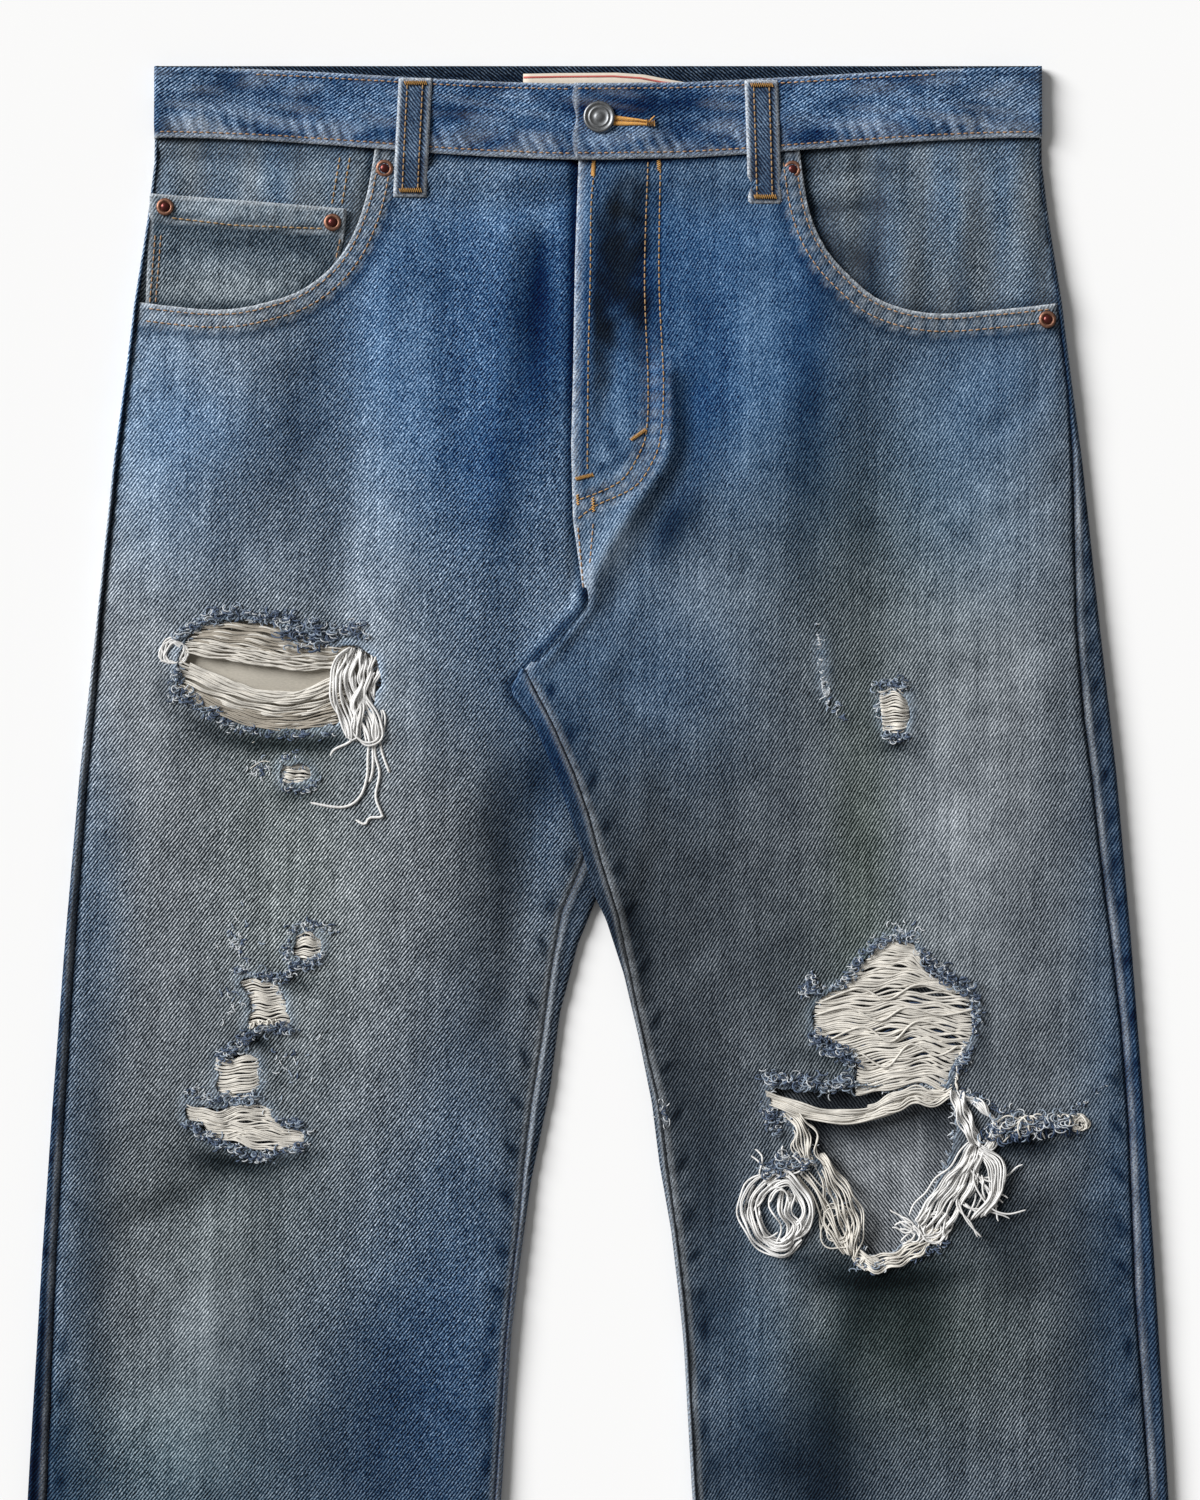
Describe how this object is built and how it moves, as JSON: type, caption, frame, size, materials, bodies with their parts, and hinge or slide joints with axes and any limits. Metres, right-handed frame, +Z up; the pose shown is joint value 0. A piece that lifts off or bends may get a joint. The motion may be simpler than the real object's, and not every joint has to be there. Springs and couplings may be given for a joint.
{
  "type": "ripped jeans",
  "caption": "Worn straight-leg denim jeans laid flat on their back, with frayed rips on one thigh, one shin and the other knee.",
  "frame": {"origin": "middle of the garment's outline on the surface that it lies on", "axes": "+X to the wearer's left, +Y towards the waist, +Z up out of the front"},
  "size_m": [0.626, 1.08, 0.0117],
  "materials": {
    "denim": "washed blue denim twill, faded and dirty on the thighs",
    "trim": "washed blue denim, worn pale along the edges",
    "lining": "plain beige cotton",
    "label": "bare cream woven tape with a red edge",
    "button_metal": "dull grey, worn",
    "rivet_metal": "dull copper with a dark centre",
    "thread": "bare off-white weft thread, frayed"
  },
  "bodies": {
    "root": {"front_right": "denim", "front_left": "denim", "back_right": "denim", "back_left": "denim", "yoke_right": "denim", "yoke_left": "denim", "back_pocket_right": "denim", "back_pocket_left": "denim", "pocket_facing_right": "denim", "pocket_facing_left": "denim", "coin_pocket": "denim", "waistband": "trim", "loop_front_right": "trim", "loop_front_left": "trim", "loop_back_right": "trim", "loop_back_centre": "trim", "loop_back_left": "trim", "pocket_bag_right": "lining", "label": "label", "button": "button_metal", "rivet_pocket_right": "rivet_metal", "rivet_coin_outer": "rivet_metal", "rivet_coin_inner": "rivet_metal", "rivet_pocket_left": "rivet_metal", "rivet_side_left": "rivet_metal", "weft_thigh_upper": "thread", "weft_thigh_lower": "thread", "weft_spot_right": "thread", "weft_shin_top": "thread", "weft_shin_middle": "thread", "weft_shin_bottom": "thread", "weft_spot_left": "thread", "weft_knee": "thread", "weft_knee_sling": "thread", "fringe_thigh": "thread", "fringe_knee_inner": "thread", "fringe_knee_outer": "thread", "fringe_knee_side": "thread"}
  },
  "joints": []
}
